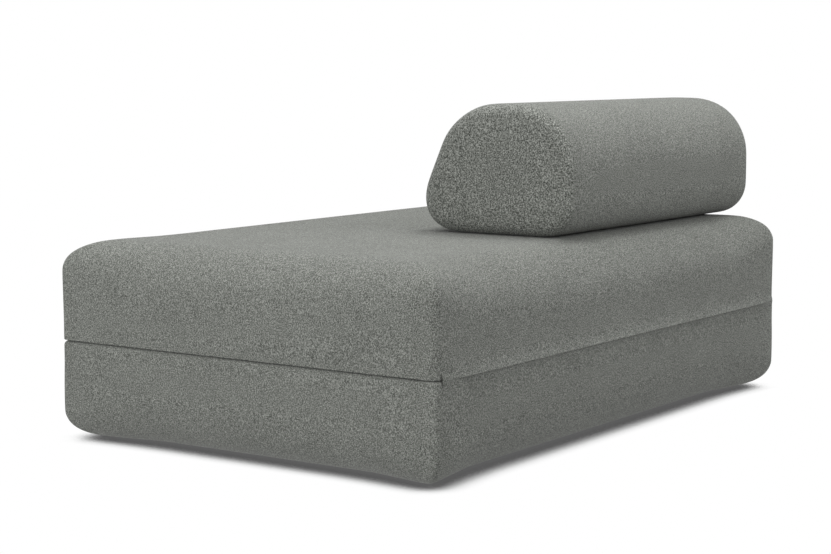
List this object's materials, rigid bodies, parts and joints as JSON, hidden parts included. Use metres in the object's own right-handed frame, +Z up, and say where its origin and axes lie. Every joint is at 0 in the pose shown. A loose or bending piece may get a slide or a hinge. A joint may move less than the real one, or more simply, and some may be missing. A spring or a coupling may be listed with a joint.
{
  "type": "futon sofa bed",
  "caption": "Low fold-out foam futon: two upholstered slabs hinged along the back edge by cloth, with a loose D-shaped bolster as a backrest.",
  "frame": {"origin": "on the floor, at the middle of the underside of the lower slab, with the bed folded as a seat", "axes": "+X along the cloth hinge (the long side), +Y towards the hinge side behind the bolster, +Z up"},
  "size_m": [1.5562, 1.0015, 0.7353],
  "materials": {
    "cover_cloth": "mid-grey tweed weave, matt, dense boucle grain",
    "sleep_cloth": "the same grey weave on the two sleeping faces, matt",
    "grip_cloth": "dark non-slip cloth with small raised dots, matt",
    "firm_foam": "open-cell polyurethane foam, cream",
    "soft_foam": "softer open-cell foam, pale blue",
    "wadding": "white polyester wadding",
    "zip_tape": "grey woven zip tape with a nylon coil",
    "zip_metal": "satin nickel"
  },
  "bodies": {
    "lower_section": {"lower_cover": "cover_cloth", "lower_sleep_panel": "sleep_cloth", "lower_wadding": "wadding", "lower_core": "firm_foam", "lower_comfort_layer": "soft_foam", "lower_hinge_leaf": "cover_cloth", "lower_zip_tape": "zip_tape", "lower_base_panel": "grip_cloth"},
    "upper_section": {"upper_cover": "cover_cloth", "upper_sleep_panel": "sleep_cloth", "upper_wadding": "wadding", "upper_core": "firm_foam", "upper_comfort_layer": "soft_foam", "upper_hinge_leaf": "cover_cloth", "upper_zip_tape": "zip_tape"},
    "bolster": {"bolster_cover": "cover_cloth", "bolster_end_near": "cover_cloth", "bolster_end_far": "cover_cloth", "bolster_base_panel": "grip_cloth", "bolster_core": "firm_foam", "bolster_wadding": "wadding", "bolster_zip_tape": "zip_tape"},
    "lower_zip_slider": {"lower_zip_slider": "zip_metal"},
    "lower_zip_pull": {"lower_zip_pull": "zip_metal"},
    "upper_zip_slider": {"upper_zip_slider": "zip_metal"},
    "upper_zip_pull": {"upper_zip_pull": "zip_metal"},
    "bolster_zip_slider": {"bolster_zip_slider": "zip_metal"},
    "bolster_zip_pull": {"bolster_zip_pull": "zip_metal"}
  },
  "joints": [
    {"name": "unfold", "type": "hinge", "parent": "lower_section", "child": "upper_section", "pos_m": [0, 0.502, 0.2205], "axis": [-1, 0, 0], "range_deg": [0, 180]},
    {"name": "bolster_carry", "type": "hinge", "parent": "upper_section", "child": "bolster", "pos_m": [0, -0.243, 0.441], "axis": [-1, 0, 0], "range_deg": [-180, 0]},
    {"name": "lower_zip_travel", "type": "slide", "parent": "lower_section", "child": "lower_zip_slider", "axis": [0, -1, 0], "range_m": [0, 0.87]},
    {"name": "lower_pull_swing", "type": "hinge", "parent": "lower_zip_slider", "child": "lower_zip_pull", "pos_m": [-0.779, 0.435, 0.185], "axis": [0, 0, -1], "range_deg": [0, 180]},
    {"name": "upper_zip_travel", "type": "slide", "parent": "upper_section", "child": "upper_zip_slider", "axis": [0, 1, 0], "range_m": [0, 0.87]},
    {"name": "upper_pull_swing", "type": "hinge", "parent": "upper_zip_slider", "child": "upper_zip_pull", "pos_m": [-0.779, -0.435, 0.256], "axis": [0, 0, 1], "range_deg": [0, 180]},
    {"name": "bolster_zip_travel", "type": "slide", "parent": "bolster", "child": "bolster_zip_slider", "axis": [0, -1, 0], "range_m": [0, 0.2]},
    {"name": "bolster_pull_swing", "type": "hinge", "parent": "bolster_zip_slider", "child": "bolster_zip_pull", "pos_m": [-0.772, 0.33, 0.5013], "axis": [0, 0, -1], "range_deg": [0, 180]}
  ],
  "couplings": [
    {"joint": "bolster_carry", "follows": "unfold", "ratio": -1}
  ]
}
